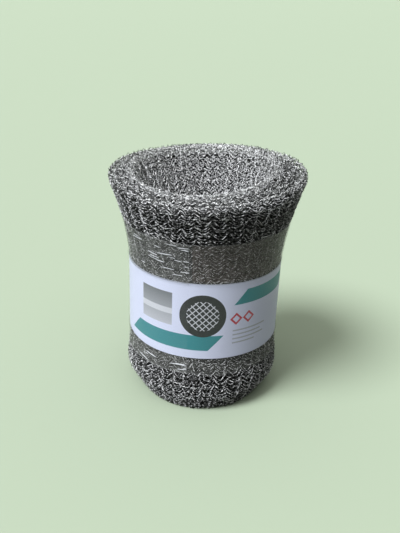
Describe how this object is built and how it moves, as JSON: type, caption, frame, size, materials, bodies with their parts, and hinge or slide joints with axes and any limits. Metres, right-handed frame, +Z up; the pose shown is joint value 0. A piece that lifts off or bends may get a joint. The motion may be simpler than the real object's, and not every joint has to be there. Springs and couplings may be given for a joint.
{
  "type": "roll of wire mesh",
  "caption": "Loose roll of knitted steel wire mesh standing on its end, with a flared open mouth, a printed paper band and a clear film wrap.",
  "frame": {"origin": "on the floor under the middle of the roll, at the bottom centre of its box", "axes": "+Z up along the roll's axis towards the flared mouth, -Y towards the front of the label"},
  "size_m": [0.1282, 0.1248, 0.157],
  "materials": {
    "steel_wire": "satin",
    "label_paper": "satin",
    "clear_film": "gloss"
  },
  "bodies": {
    "root": {"wire_mesh_roll": "steel_wire", "label_band": "label_paper", "film_wrap": "clear_film"}
  },
  "joints": []
}
